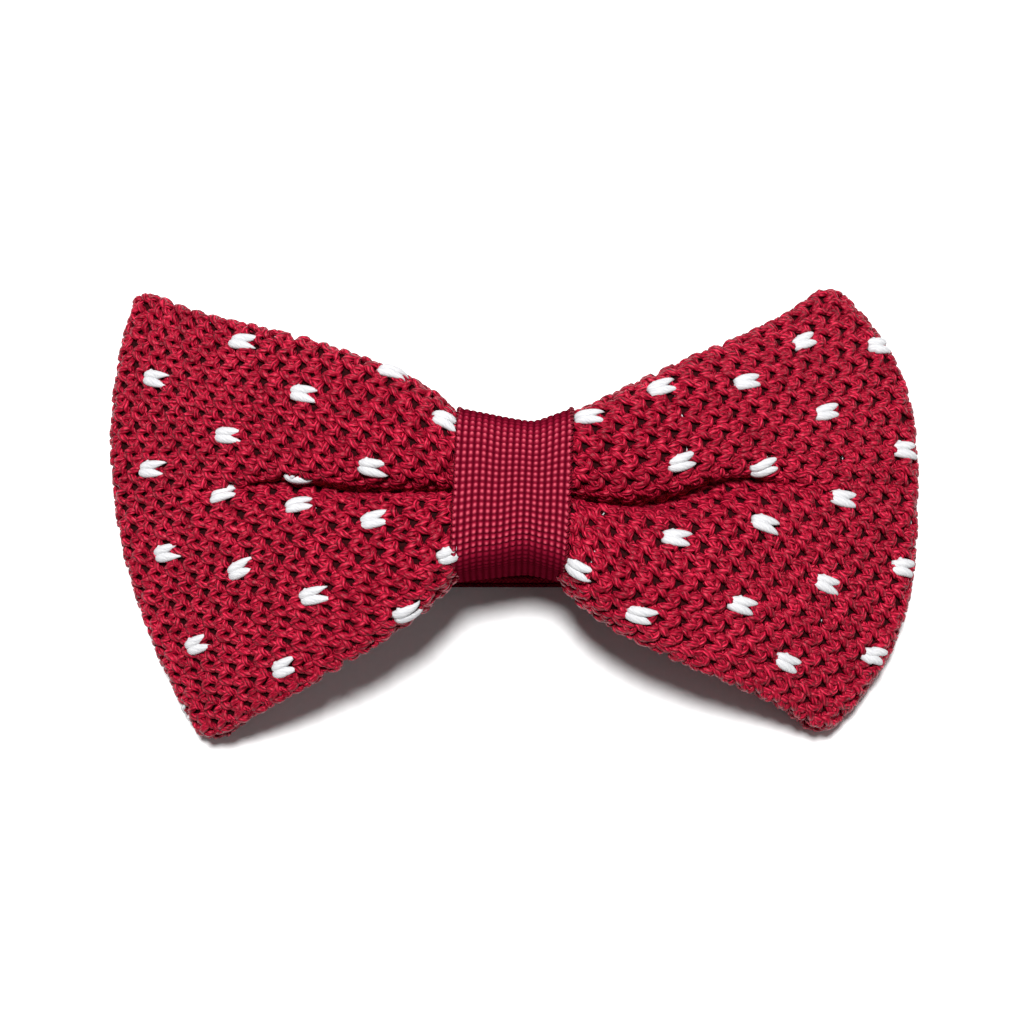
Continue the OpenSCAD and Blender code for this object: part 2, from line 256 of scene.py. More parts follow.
def cloth_material(name, dark, light, roughness):
    """Dull cloth with a fine grain."""
    n = Nodes(name)
    weave = n.noise(WEAVE_SCALE, 3)
    n.link(n.colours(weave, [(0.35, dark), (0.68, light)]), n.shader.inputs["Base Color"])
    n.link(n.math("ADD", n.math("MULTIPLY", weave, 0.2), roughness - 0.1), n.shader.inputs["Roughness"])
    n.shader.inputs["Specular IOR Level"].default_value = 0.1
    n.link(n.bump(weave, 0.0002), n.shader.inputs["Normal"])
    return n.material


def metal_material(name):
    """Plated metal, brushed along X."""
    n = Nodes(name)
    brush = n.add("Mapping")
    n.link(n.add("TexCoord").outputs["Object"], brush.inputs["Vector"])
    brush.inputs["Scale"].default_value = (300, 9000, 9000)
    lines = n.noise(1, 3, brush.outputs[0])
    wear = n.noise(500, 4)
    n.link(n.colours(wear, [(0.35, (0.42, 0.41, 0.4)), (0.65, (0.66, 0.65, 0.64))]),
           n.shader.inputs["Base Color"])
    n.shader.inputs["Metallic"].default_value = 1.0
    n.link(n.math("ADD", n.math("MULTIPLY", lines, 0.22), 0.2), n.shader.inputs["Roughness"])
    n.link(n.bump(lines, 0.00003), n.shader.inputs["Normal"])
    return n.material


CRIMSON = yarn_material("crimson yarn", (0.09, 0.0005, 0.005), (0.31, 0.005, 0.023), (0.76, 0.028, 0.08),
                        roughness=0.42, shine=0.24, ply_pitch=1.1, ply_depth=0.00005)
WHITE = yarn_material("white yarn", (0.5, 0.5, 0.52), (0.58, 0.58, 0.59), (0.66, 0.66, 0.66),
                      roughness=0.6, shine=0.2, ply_pitch=1.6, ply_depth=0.00001, turns=9)
BAND = yarn_material("band yarn", (0.06, 0.0004, 0.004), (0.16, 0.001, 0.012), (0.3, 0.008, 0.03),
                     roughness=0.4, shine=0.2, ply_pitch=0.9, ply_depth=0.00001, turns=2, patch_share=0.1)
# Beaded band: its gap colour is painted shade, its tip colour a painted highlight
BEADED = beaded_material("beaded band", (0.07, 0.001, 0.006), (0.24, 0.008, 0.028), (0.56, 0.08, 0.12))
STRAP = yarn_material("strap rib", (0.02, 0.0003, 0.002), (0.09, 0.001, 0.007), (0.22, 0.006, 0.02),
                      roughness=0.45, shine=0, ply_pitch=0.65, ply_depth=0.00008, turns=2, patch_share=0.1)
THREAD = yarn_material("thread", (0.05, 0.001, 0.004), (0.12, 0.003, 0.01), (0.22, 0.01, 0.025),
                       roughness=0.45, shine=0.3, ply_pitch=0.4, ply_depth=0.00003)
# Near-black inner sheet: painted shade seen through the gaps in the knit
INNER_SHADE = cloth_material("painted shade sheet", (0.006, 0.0001, 0.0005), (0.035, 0.0003, 0.002), roughness=0.85)
METAL = metal_material("plated steel")


# ---------------------------------------------------------------- meshes

def grid_faces(rows, columns, wrap=False, start=0):
    """Quads of a grid of points stored row by row; wrap joins the last column to the first."""
    i = np.arange(rows - 1)[:, None] * columns
    j = np.arange(columns if wrap else columns - 1)[None, :]
    k = (j + 1) % columns
    quads = np.stack([i + j, i + k, i + columns + k, i + columns + j], axis=-1)
    return quads.reshape(-1, 4) + start


def add_uv(mesh, name, uv, faces):
    """A UV map from one pair for each point."""
    layer = mesh.uv_layers.new(name=name)
    layer.data.foreach_set("uv", np.asarray(uv, np.float32)[faces.ravel()].ravel())


def make_piece(name, points, faces, material, body, uv=None):
    """A smooth mesh from points in mm and quads, riding on body unless that is None."""
    mesh = bpy.data.meshes.new(name)
    faces = np.asarray(faces)
    mesh.vertices.add(len(points))
    mesh.vertices.foreach_set("co", (np.asarray(points, float) * MM).astype(np.float32).ravel())
    mesh.loops.add(faces.size)
    mesh.loops.foreach_set("vertex_index", faces.astype(np.int32).ravel())
    mesh.polygons.add(len(faces))
    mesh.polygons.foreach_set("loop_start", np.arange(0, faces.size, faces.shape[1], dtype=np.int32))
    mesh.update(calc_edges=True)
    mesh.polygons.foreach_set("use_smooth", np.ones(len(faces), bool))
    if uv is not None:
        add_uv(mesh, "UVMap", uv, faces)
    mesh.materials.append(material)
    piece = bpy.data.objects.new(name, mesh)
    bpy.context.scene.collection.objects.link(piece)
    if body is not None:
        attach(piece, body)
    return piece


class Tubes:
    """Collects swept yarns, so that many of them make one mesh."""

    def __init__(self, sides):
        self.sides = sides
        self.points, self.faces, self.uv = [], [], []
        self.count = 0

    def sweep(self, path, normal, radius, flat=1.0):
        """One closed yarn along a path; normal is the cloth's, flat squeezes the yarn along it."""
        rows, sides = len(path), self.sides
        tangent = np.gradient(path, axis=0)
        tangent /= np.linalg.norm(tangent, axis=1, keepdims=True) + 1e-9
        side = np.cross(tangent, normal)
        side /= np.linalg.norm(side, axis=1, keepdims=True) + 1e-9
        up = np.cross(side, tangent)
        turn = np.arange(sides) / sides * 2 * np.pi
        radius = np.broadcast_to(radius, rows)[:, None, None]
        ring = (np.cos(turn)[None, :, None] * side[:, None]
                + flat * np.sin(turn)[None, :, None] * up[:, None])
        points = path[:, None] + radius * ring
        points[..., 2] = np.maximum(points[..., 2], REST_Z)
        length = measured(path)
        uv = np.stack(np.broadcast_arrays(length[:, None], (np.arange(sides) / sides)[None]), axis=-1)
        ends = points[[0, -1]].mean(axis=1)
        first = self.count
        self.points += [points.reshape(-1, 3), ends]
        self.uv += [uv.reshape(-1, 2), [[0, 0], [length[-1], 0]]]
        self.faces.append(grid_faces(rows, sides, True, first))
        near, far = first + rows * sides, first + rows * sides + 1
        last = first + (rows - 1) * sides
        for a in range(0, sides, 2):
            b, c = (a + 1) % sides, (a + 2) % sides
            self.faces.append([[near, first + c, first + b, first + a],
                               [far, last + a, last + b, last + c]])
        self.count += rows * sides + 2

    def triangles(self):
        return 2 * sum(len(f) for f in self.faces)

    def piece(self, name, material, body, slot):
        return make_piece(name, np.concatenate(self.points), np.concatenate(self.faces), material,
                          body, np.concatenate(self.uv))


def slab_points(rows, thickness, normals):
    """A closed ring of points round a sheet: its top from left to right, then its underside back.

    thickness is a pair, over and under the sheet."""
    top = rows + normals * thickness[0]
    under = rows - normals * thickness[1]
    return np.concatenate([top, under[:, ::-1]], axis=1)


def slab_faces(rows, columns):
    """Faces of a closed slab made by slab_points, with quads across both ends."""
    ring = 2 * columns
    walls = grid_faces(rows, ring, True)
    j = np.arange(columns - 1)
    k = ring - 1 - j
    near = np.stack([j, k, k - 1, j + 1], axis=1)
    last = (rows - 1) * ring
    far = np.stack([j + 1, k - 1, k, j], axis=1) + last
    return np.concatenate([walls, near, far])


# ---------------------------------------------------------------- shape of the bow

# Knit: its whole thickness, and the half width of one wing's cloth
KNIT_T = 2.6
HALF_CLOTH = 33
# Crease: depth at the knot, where it ends, half its gap, and how far its bottom lies under the upper lip
CREASE_DEPTH = 6.3
CREASE_END = 0.85
LIP = 1.45
OVERHANG = 2.9
# Outer fold: height of its middle and radius
TIP_Z = 3.9
FOLD_R = 2.15
# Knot: its half length as a share of a wing, its depth, and how much its half height drops at its middle
KNOT_REACH = 0.16
KNOT_DEPTH = 12.6
NECK_IN = 1.9
# At the knot: how far the edges tuck down, and how far the lobes sag from their crests
TUCK_DEPTH = 4.6
CREST_DROP = 2
# Band: width, height, thickness and how far its waist is drawn in
BAND_W = 16.5
BAND_H = 25
BAND_T = 0.8
WAIST_IN = 2.7
# Strap: width, thickness, gap and distance between plies; and the thickness of the slide's plate
STRAP_W = 16
STRAP_T = 0.7
PLY_GAP = 0.12
PLY = STRAP_T + PLY_GAP
PLATE_T = 0.8

# Heights, from the lowest ply of the strap up to the knit's back run and the crests of its front run
Z_LOWER = STRAP_T / 2
Z_RUN = Z_LOWER + PLY
Z_PLATE = 2 * PLY + PLATE_T / 2
Z_OVER_BAR = 2 * PLY + PLATE_T + PLY_GAP + STRAP_T / 2
Z_BUMP = Z_OVER_BAR + PLY
Z_STORE = Z_BUMP + PLY + PLY_GAP
Z_BAND_OUTER = Z_STORE + 3 * PLY + STRAP_T / 2 + 0.75
Z_BAND_INNER = Z_BAND_OUTER + BAND_T + 0.1
Z_THROUGH = Z_BAND_INNER + BAND_T + 0.2 + STRAP_T / 2
Z_KNIT_BACK = Z_THROUGH + STRAP_T / 2 + 0.25
Z_BACK = Z_KNIT_BACK + KNIT_T / 2
Z_CREST = Z_KNIT_BACK + KNOT_DEPTH - KNIT_T / 2

# Half heights of the knit at the ends of the knot, in front and behind; and the back run's gathers
KNOT_HALF = BAND_H / 2 - BAND_T - KNIT_T / 2 - 0.5
BACK_HALF = 7.6
GATHER_DEPTH = 6.5

# For each side: outer corners, the fold's reach at mid height and how late it falls off to the corners;
# each edge's bow, flick at its corner and pinch at the knot; and the crease's open stretch, as its
# place, width and half its extra gap
CORNERS = {
    -1: {"top": (57, 31.4), "bottom": (46.0, -32.0), "middle": 58.6, "power": 2,
         "top_edge": (0.6, 3, 0), "bottom_edge": (0.6, 0, 2.5), "gape": (0.63, 0.18, 1.7)},
    1: {"top": (50, 32.2), "bottom": (47.2, -31), "middle": 60, "power": 3,
        "top_edge": (1, 3, 0.2), "bottom_edge": (0.5, 1.5, 0.9), "gape": (0.53, 0.15, 2.1)}}


def reach(side, v):
    """Distance from the middle to a wing's outer fold; v runs from -1, bottom, to 1, top."""
    c = CORNERS[side]
    top, bottom, middle = c["top"][0], c["bottom"][0], c["middle"]
    return middle + (top - bottom) / 2 * v + ((top + bottom) / 2 - middle) * np.abs(v) ** c["power"]


def opened(a):
    """0 inside the knot, rising to 1 at the outer fold."""
    return clamp01((a - KNOT_REACH) / (1 - KNOT_REACH))


def one_edge(side, a, name, way):
    """Height of the top or bottom edge; way is 1 for the top and -1 for the bottom."""
    bow, flick, pinch = CORNERS[side][name + "_edge"]
    grip = ease(a / KNOT_REACH)
    knot = way * (mix(KNOT_HALF - NECK_IN, KNOT_HALF, grip) - pinch * grip)
    q = opened(a)
    return mix(knot, CORNERS[side][name][1] - way * flick, q ** bow) + way * flick * q ** 7


def wing_edge(side, a, v):
    """Height of the wing's top edge where v is above 0, and of its bottom edge elsewhere."""
    return np.where(v > 0, one_edge(side, a, "top", 1), one_edge(side, a, "bottom", -1))


def gaping(side, a):
    """1 where the crease is widest open, 0 where its lips meet."""
    place, width, _ = CORNERS[side]["gape"]
    return np.exp(-((a - place) / width) ** 2)


def lip_gap(side, a):
    """Half of the gap between the middle surfaces of the two lips of the crease."""
    return (LIP + CORNERS[side]["gape"][2] * gaping(side, a)) * (1 - clamp01(a / CREASE_END) ** 4)


def crease_y(side, a):
    """The left crease is nearly level; the right one dips beside the knot and climbs further out."""
    if side < 0:
        return 0.4 * opened(a)
    return mix(-1.9 * ease(a / 0.3), 1.6, ease((a - 0.38) / 0.32))


def wing_x(side, a, v):
    return side * a * (reach(side, v) - FOLD_R - KNIT_T / 2)


def front_surface(side, a, v):
    """Middle surface of the front run: two lobes with a crease between them."""
    p = np.abs(v)
    crease_at = CREASE_DEPTH * (1 - clamp01(a / CREASE_END) ** 3)
    tuck_at = TUCK_DEPTH * (1 - opened(a)) ** 3
    wall, tuck = crease_at / HALF_CLOTH, tuck_at / HALF_CLOTH
    g0 = ramp(-wall) - ramp(tuck - 1)
    g1 = ramp(1 - wall) - ramp(tuck)
    g = (ramp(p - wall) - ramp(p - 1 + tuck) - g0) / (g1 - g0)
    tucked = tuck_at * ramp(p - 1 + tuck) / ramp(tuck)
    crown = CREST_DROP * (1 - 4 * g * (1 - g)) * (1 - opened(a))
    crest = mix(Z_CREST, TIP_Z + FOLD_R, opened(a) ** 1.8)
    deep = ramp(wall - p) / ramp(wall)
    lip = np.sign(v) * lip_gap(side, a) * np.tanh(p / (0.25 * wall + 0.01)) * (1 - g)
    lip = lip + OVERHANG * gaping(side, a) * deep
    y = mix(crease_y(side, a), wing_edge(side, a, v), g) + lip
    return stacked(wing_x(side, a, v), y, crest - crease_at * deep - tucked - crown)


def fold_surface(side, turn, v):
    """Middle surface of the outer fold, turn from 90 degrees at the front to -90 at the back."""
    x = side * (reach(side, v) - FOLD_R - KNIT_T / 2 + FOLD_R * np.cos(turn))
    y = mix(crease_y(side, 1.0), wing_edge(side, 1.0, v), np.abs(v))
    return stacked(x, y, TIP_Z + FOLD_R * np.sin(turn))


def back_surface(side, a, v):
    """Middle surface of the back run, gathered towards the knot."""
    narrow = mix(BACK_HALF / KNOT_HALF, 1, opened(a))
    y = mix(crease_y(side, a), wing_edge(side, a, v) * narrow, np.abs(v))
    z = mix(Z_BACK, TIP_Z - FOLD_R, opened(a) ** 2.6)
    gather = GATHER_DEPTH * (1 - opened(a)) ** 2 * np.sin(np.pi * np.abs(v)) ** 2
    return stacked(wing_x(side, a, v), y, z + gather)


# Rows of a wing's front or back run, and of its fold
FRONT_ROWS = 60
FOLD_ROWS = 12


def middle_surface(side, columns=121):
    """Rows from the middle of the front, out to the fold and back to the middle of the back."""
    v = np.linspace(-1, 1, columns)[None, :]
    a = np.linspace(0, 1, FRONT_ROWS)[:, None]
    turn = np.radians(np.linspace(90, -90, FOLD_ROWS + 2)[1:-1])[:, None]
    return np.concatenate([front_surface(side, a, v), fold_surface(side, turn, v),
                           back_surface(side, a[::-1], v)])


def surface_normals(side, rows):
    """Normals that point out of the loop, whichever the side."""
    along, across = np.gradient(rows, axis=(0, 1))
    return unit(side * np.cross(along, across))


# ---------------------------------------------------------------- cloth coordinates

# Grid step of the cloth coordinates; how far the yarns run from the middle surface, and from its edges
CELL = 0.425
YARN_LEVEL = 0.62
EDGE_R = 0.75
# How far the coordinates go on over an edge and along the inner face
INNER_REACH = 9.5
# How much wales crowd where they run out into the crease, from 0, not at all, to 1, as the cloth narrows
CROWDING = 0.35


def wales_dive():
    """How far each row's wales keep their pitch and run out into the crease, instead of crowding."""
    a = np.linspace(0, 1, FRONT_ROWS)
    fold = np.zeros(FOLD_ROWS)
    return np.concatenate([ease((0.8 - a) / 0.35), fold, ease((0.55 - a[::-1]) / 0.3)])


class Cloth:
    """Outer face of one half of the folded tube, measured in mm along it and across it.

    along runs from the middle of the front round the outer fold to the middle of the back.
    across is 0 at the crease, and past the top and bottom edges it turns on to the inner face."""

    def __init__(self, side):
        self.side = side
        rows = middle_surface(side)
        normals = surface_normals(side, rows)
        upper = self.lobe(rows, normals, 1)
        lower = self.lobe(rows, normals, -1)
        self.points = np.concatenate([lower[0][:, :0:-1], upper[0]], axis=1)
        self.normals = np.concatenate([lower[1][:, :0:-1], upper[1]], axis=1)
        self.whole = np.concatenate([lower[2][:, :0:-1], upper[2]], axis=1).astype(float)
        self.zero = lower[0].shape[1] - 1
        self.measure_along()

    def lobe(self, rows, normals, way):
        """One lobe from the crease outward, resampled evenly across."""
        middle = rows.shape[1] // 2
        pick = slice(middle, None) if way > 0 else slice(middle, None, -1)
        m, n = rows[:, pick], normals[:, pick]
        out = unit(m[:, -1] - m[:, -2])
        turn = np.radians(np.linspace(0, 180, 11))[None, 1:-1, None]
        bend = n[:, -1:] * np.cos(turn) + out[:, None] * np.sin(turn)
        keep = m.shape[1] * 3 // 4
        inner = slice(None, -keep - 1, -1)
        points = np.concatenate([m + YARN_LEVEL * n, m[:, -1:] + EDGE_R * bend,
                                 m[:, inner] - YARN_LEVEL * n[:, inner]], axis=1)
        normal = np.concatenate([n, bend, -n[:, inner]], axis=1)
        steps = np.linalg.norm(np.diff(points, axis=1), axis=2)
        arc = np.concatenate([np.zeros((len(points), 1)), np.cumsum(steps, axis=1)], axis=1)
        edge = arc[:, m.shape[1] - 1]
        tip = FRONT_ROWS - 1
        crowd = (edge[tip] / edge)[:, None]
        held = (arc - edge[:, None] / 2) * crowd ** CROWDING + edge[tip] / 2
        across = mix(arc * crowd, held, wales_dive()[:, None])
        grid = np.arange(0, edge[tip] + INNER_REACH, CELL)
        p = np.array([[np.interp(grid, w, c) for c in q.T] for w, q in zip(across, points)])
        k = np.array([[np.interp(grid, w, c) for c in q.T] for w, q in zip(across, normal)])
        whole = (grid[None] >= across[:, :1]) & (grid[None] <= across[:, -1:])
        return p.transpose(0, 2, 1), unit(k.transpose(0, 2, 1)), whole

    def measure_along(self):
        """Resamples evenly along the cloth; every column ends at the same length in the back."""
        steps = np.linalg.norm(np.diff(self.points, axis=0), axis=2)
        arc = np.concatenate([np.zeros((1, steps.shape[1])), np.cumsum(steps, axis=0)])
        self.length = arc[-1].mean()
        turned = FRONT_ROWS + FOLD_ROWS // 2
        fold = arc[turned]
        arc[turned:] = fold + (arc[turned:] - fold) * (self.length - fold) / (arc[-1] - fold)
        grid = np.arange(0, self.length, CELL)

        def even(values):
            return np.array([np.interp(grid, arc[:, k], values[:, k]) for k in range(values.shape[1])]).T

        self.points = np.stack([even(self.points[..., c]) for c in range(3)], axis=-1)
        self.normals = np.stack([even(self.normals[..., c]) for c in range(3)], axis=-1)
        self.whole = even(self.whole)

    def at(self, along, across, lift):
        """Places, normals and whether the cloth is there, for arrays of cloth coordinates."""
        i = np.clip(along / CELL, 0, self.points.shape[0] - 1.001)
        j = np.clip(across / CELL + self.zero, 0, self.points.shape[1] - 1.001)
        i0, j0 = i.astype(int), j.astype(int)
        fi, fj = (i - i0)[..., None], (j - j0)[..., None]

        def blend(values):
            near = mix(values[i0, j0], values[i0, j0 + 1], fj)
            return mix(near, mix(values[i0 + 1, j0], values[i0 + 1, j0 + 1], fj), fi)

        normals = unit(blend(self.normals))
        places = blend(self.points) + normals * np.asarray(lift)[..., None]
        return places, normals, blend(self.whole[..., None])[..., 0] > 0.6

    def half_width(self):
        """Distance across from the crease to the end of the inner face."""
        return self.zero * CELL


CLOTHS = {side: Cloth(side) for side in (-1, 1)}


# ---------------------------------------------------------------- knitted yarn

# Pitch of the courses along the cloth, and of the pairs of wales across it
COURSE = 1.65
WALES = 3.1
# Stretch under the band that has no yarn
HIDDEN = 6.0
# Most triangles of one piece of knit, and more than one course has
PIECE_LIMIT = 190000
COURSE_ROOM = 14000
# Yarn: steps between two points, sides, thickness, flatness and how much of its lift is kept
SUB_STEPS = 2
YARN_SIDES = 6
YARN_SCALE = 1.3
YARN_FLAT = 0.85
YARN_RISE = 0.7
# A run of yarn of no more points than this is left out
SHORTEST_RUN = 6
# Half thickness of the inner sheet, painted shade between the two faces of knit
INNER_SHADE_HALF = 0.38

# One course of yarn over one pair of wales, as points of (along, across, lift, radius) in mm.
# An open pair makes a bar and then a long loop, whose two legs show as a chevron;
# a closed pair makes a short loop and then passes behind the long loop of the course before.
OPEN_PAIR = np.array([
    (-0.45, -2.75, -0.35, 0.34), (-0.68, -2.35, 0.28, 0.4), (-0.70, -1.75, 0.42, 0.43),
    (-0.72, -1.20, 0.08, 0.38), (-1.05, -0.75, -0.38, 0.33), (-1.02, -0.32, -0.12, 0.34),
    (-0.60, -0.26, 0.40, 0.42), (0.05, -0.60, 0.52, 0.48), (0.72, -0.98, 0.28, 0.42),
    (1.25, -0.72, -0.32, 0.33), (1.38, 0.00, -0.42, 0.31), (1.25, 0.72, -0.32, 0.33),
    (0.72, 0.98, 0.28, 0.42), (0.05, 0.60, 0.52, 0.48), (-0.60, 0.26, 0.40, 0.42),
    (-0.98, 0.40, -0.15, 0.33)])
CLOSED_PAIR = np.array([
    (-0.45, -2.55, -0.35, 0.33), (0.15, -2.30, -0.32, 0.32), (0.62, -1.92, 0.00, 0.34),
    (0.10, -1.68, 0.42, 0.44), (-0.50, -1.42, 0.28, 0.38), (-0.76, -1.15, 0.02, 0.33),
    (-0.50, -0.88, 0.28, 0.38), (0.10, -0.62, 0.42, 0.44), (0.62, -0.38, 0.00, 0.34),
    (0.25, -0.10, -0.38, 0.32), (-0.45, 0.35, -0.42, 0.32)])


def smooth_path(points, steps):
    """Catmull-Rom curve through all the points, for every column of them at once."""
    p = np.concatenate([points[:1], points, points[-1:]])
    t = (np.arange(steps) / steps)[None, :, None]
    p0, p1, p2, p3 = (p[k:len(p) - 3 + k, None] for k in range(4))
    curve = 0.5 * (2 * p1 + (p2 - p0) * t + (2 * p0 - 5 * p1 + 4 * p2 - p3) * t ** 2
                   + (3 * p1 - p0 - 3 * p2 + p3) * t ** 3)
    return np.concatenate([curve.reshape(-1, points.shape[1]), points[-1:]])


def course_path(cloth, course):
    """Cloth coordinates of one course of yarn, from the bottom wales to the top ones."""
    count = int(cloth.half_width() / WALES)
    parts = []
    for pair in range(-count, count):
        shape = OPEN_PAIR if (course + pair) % 2 == 0 else CLOSED_PAIR
        drift = rng.normal(0, (0.06, 0.06, 0.03, 0.0), 4)
        wobble = rng.normal(0, (0.03, 0.03, 0.02, 0.015), shape.shape)
        place = np.array([course * COURSE, (pair + 0.5) * WALES, 0, 0])
        parts.append(shape + wobble + drift + place)
    return smooth_path(np.concatenate(parts), SUB_STEPS).T


def knit_yarns(side):
    """All the courses of one half, as meshes small enough to keep their detail when exported."""
    cloth = CLOTHS[side]
    pieces = []
    tubes = Tubes(YARN_SIDES)
    first, last = int(HIDDEN / COURSE), int(cloth.length / COURSE)
    for number in range(first, last):
        along, across, lift, radius = course_path(cloth, number * side)
        path, normal, there = cloth.at(side * along, across, YARN_RISE * lift)
        cuts = np.flatnonzero(np.diff(there.astype(int))) + 1
        for run in np.split(np.arange(len(path)), cuts):
            if there[run[0]] and len(run) > SHORTEST_RUN:
                tubes.sweep(path[run], normal[run], YARN_SCALE * radius[run], YARN_FLAT)
        if tubes.triangles() > PIECE_LIMIT - COURSE_ROOM or number == last - 1:
            name = f"knit_{'left' if side < 0 else 'right'}_{len(pieces) + 1}"
            pieces.append(tubes.piece(name, CRIMSON, "bow", "crimson_knit"))
            tubes = Tubes(YARN_SIDES)
    return pieces


def inner_shade_sheet():
    """Closed near-black layer between the two faces of knit, through the whole loop: painted shade, seen
    through the gaps in the knit.
    """
    left, right = middle_surface(-1, 61), middle_surface(1, 61)
    rows = np.concatenate([left[::-1], right[1:]])
    along, across = np.gradient(rows, axis=(0, 1))
    normals = unit(np.cross(along, across))
    half = np.full(rows.shape[:2] + (1,), INNER_SHADE_HALF)
    points = slab_points(rows, (half, half), normals)
    faces = slab_faces(*rows.shape[:2])
    return make_piece("knit_inner_shade", points.reshape(-1, 3), faces, INNER_SHADE, "bow")


# ---------------------------------------------------------------- white stitches

# For each side: the columns' first place, step, its growth, slant and bow;
# and the places across of the stitches in even and in odd columns
STITCH_COLUMNS = {-1: (9.5, 9.9, 0.28, 0.13, 0), 1: (13, 12.15, 0, 0.03, 0.003)}
STITCH_ROWS = {-1: ((-23, -8.2, 5.2, 19.8), (-32, -15, -2, 11.2, 28.5)),
               1: ((-24.3, -10.6, 7, 23.4), (-30.5, -16.2, -1.6, 14.6, 28.5))}
# Columns as far as the outer fold, and what the step gains past them
FRONT_COLUMNS = 4
BACK_STEP = 1.8
# No stitch is this near the end of the cloth or of its inner face, or to the crease in the first column
END_MARGIN = 14
EDGE_MARGIN = 9
KNOT_MARGIN = 12
# Share of its spread from the crease that the second column keeps
SECOND_DRAWN = 0.92
STITCH_LENGTH = 4.3
STITCH_R = 0.76
# Thin yarn from stitch to stitch: radius, lift, place beside its column, and step between its points
FLOAT_R = 0.16
FLOAT_LIFT = -0.4
FLOAT_OFFSET = 0.85
FLOAT_STEP = 0.8


def white_stitch(tubes, cloth, side, middle, across):
    """Two fat lobes side by side that part towards +X, and the yarn's end peeping out."""
    t = np.linspace(0, 1, 13)
    for lobe in (-1, 1):
        along = side * middle + (t - 0.5) * STITCH_LENGTH
        spread = across + lobe * mix(0.42, 0.98, t ** 1.4)
        profile = STITCH_R * np.maximum(np.sin(np.pi * mix(0.1, 0.995, t) ** 0.72), 0.0) ** 0.7
        lift = 0.62 - 0.55 * (2 * t - 1) ** 4 + rng.normal(0, 0.03)
        path, normal, there = cloth.at(side * along, spread, lift)
        if there.all():
            tubes.sweep(path, normal, np.maximum(profile, 0.1), 0.85)
    t = np.linspace(0, 1, 6)
    along = side * middle - 1.35 + 0.5 * t
    path, normal, there = cloth.at(side * along, across + mix(0.5, 1.4, t), 0.55 * np.ones(6))
    if there.all():
        tubes.sweep(path, normal, 0.4 * np.sin(np.pi * mix(0.2, 0.8, t)), 0.9)


def white_float(tubes, cloth, side, middle, across):
    """Thin yarn between the stitches of one column, just under the knit, seen through its gaps."""
    lift = np.full(len(across), FLOAT_LIFT)
    path, normal, there = cloth.at(side * middle + FLOAT_OFFSET, across, lift)
    path = path + rng.normal(0, 0.05, path.shape)
    for run in np.split(np.arange(len(path)), np.flatnonzero(~there)):
        run = run[there[run]]
        if len(run) > SHORTEST_RUN:
            tubes.sweep(path[run], normal[run], FLOAT_R)


def white_stitches(side):
    """Staggered columns of stitches from the knot, round the outer fold and along the back."""
    cloth = CLOTHS[side]
    tubes = Tubes(12)
    first, step, growth, slant, bow = STITCH_COLUMNS[side]

    def place(column, across):
        """Distance of a stitch along the cloth."""
        outer = min(column, FRONT_COLUMNS)
        middle = first + step * column + growth * outer ** 2 + BACK_STEP * (column - outer)
        return middle + slant * across * (outer / FRONT_COLUMNS) ** 3 - bow * across ** 2

    column = 0
    while place(column, 0) <= cloth.length - END_MARGIN:
        rows = STITCH_ROWS[side][column % 2]
        for across in rows:
            drawn = SECOND_DRAWN * across if column == 1 else across
            clear = column > 0 or abs(across) > KNOT_MARGIN
            if clear and abs(across) < cloth.half_width() - EDGE_MARGIN:
                white_stitch(tubes, cloth, side, place(column, across), drawn)
        across = np.arange(rows[0], rows[-1], FLOAT_STEP)
        white_float(tubes, cloth, side, place(column, across), across)
        column += 1
    name = f"white_stitches_{'left' if side < 0 else 'right'}"
    return tubes.piece(name, WHITE, "bow", "white_yarn")


# ---------------------------------------------------------------- knot band

BAND_FRONT = Z_KNIT_BACK + KNOT_DEPTH + 0.1 + BAND_T / 2
BAND_BACK = Z_BAND_INNER + BAND_T / 2
BAND_MID = (BAND_FRONT + BAND_BACK) / 2
BAND_HALF_Z = (BAND_FRONT - BAND_BACK) / 2
BAND_HALF_Y = BAND_H / 2 - BAND_T / 2
# Degrees that each end laps past the middle of the back
LAP_TURN = 5
CORDS = 18
BEAD_PITCH = 0.83
# Faces from one cord to the next, and from one bead to the next
CORD_FACES = 8
BEAD_FACES = 7
# Waist: where it is deepest, how round its point is, and how many times deeper it is above than below
WAIST_X = 2.5
WAIST_ROUND = 0.14
WAIST_ABOVE = 1.05
BAND_SLANT = 0.045
# Powers of a rounded section: rounder in front than behind
FRONT_POWER = 2 / 3
BACK_POWER = 2 / 8


def section_point(x, turn, outset):
    """Closed section round the knot: turn 90 degrees is the middle of the front."""
    s, c = np.sin(turn), np.cos(turn)
    power = np.where(s > 0, FRONT_POWER, BACK_POWER)
    reach_x = BAND_W / 2 - np.sign(x - WAIST_X) * WAIST_X
    notch = np.sqrt((np.abs(x - WAIST_X) / reach_x) ** 2 + 0.02) - WAIST_ROUND
    drawn = WAIST_IN * (1 - np.minimum(1, notch)) * (0.75 + 0.25 * s) * np.where(c < 0, 1, WAIST_ABOVE)
    y = (BAND_HALF_Y - drawn + outset) * np.sign(c) * np.abs(c) ** power
    z = BAND_MID + (BAND_HALF_Z + outset) * np.sign(s) * np.abs(s) ** power
    return stacked(x + BAND_SLANT * y, y, z)


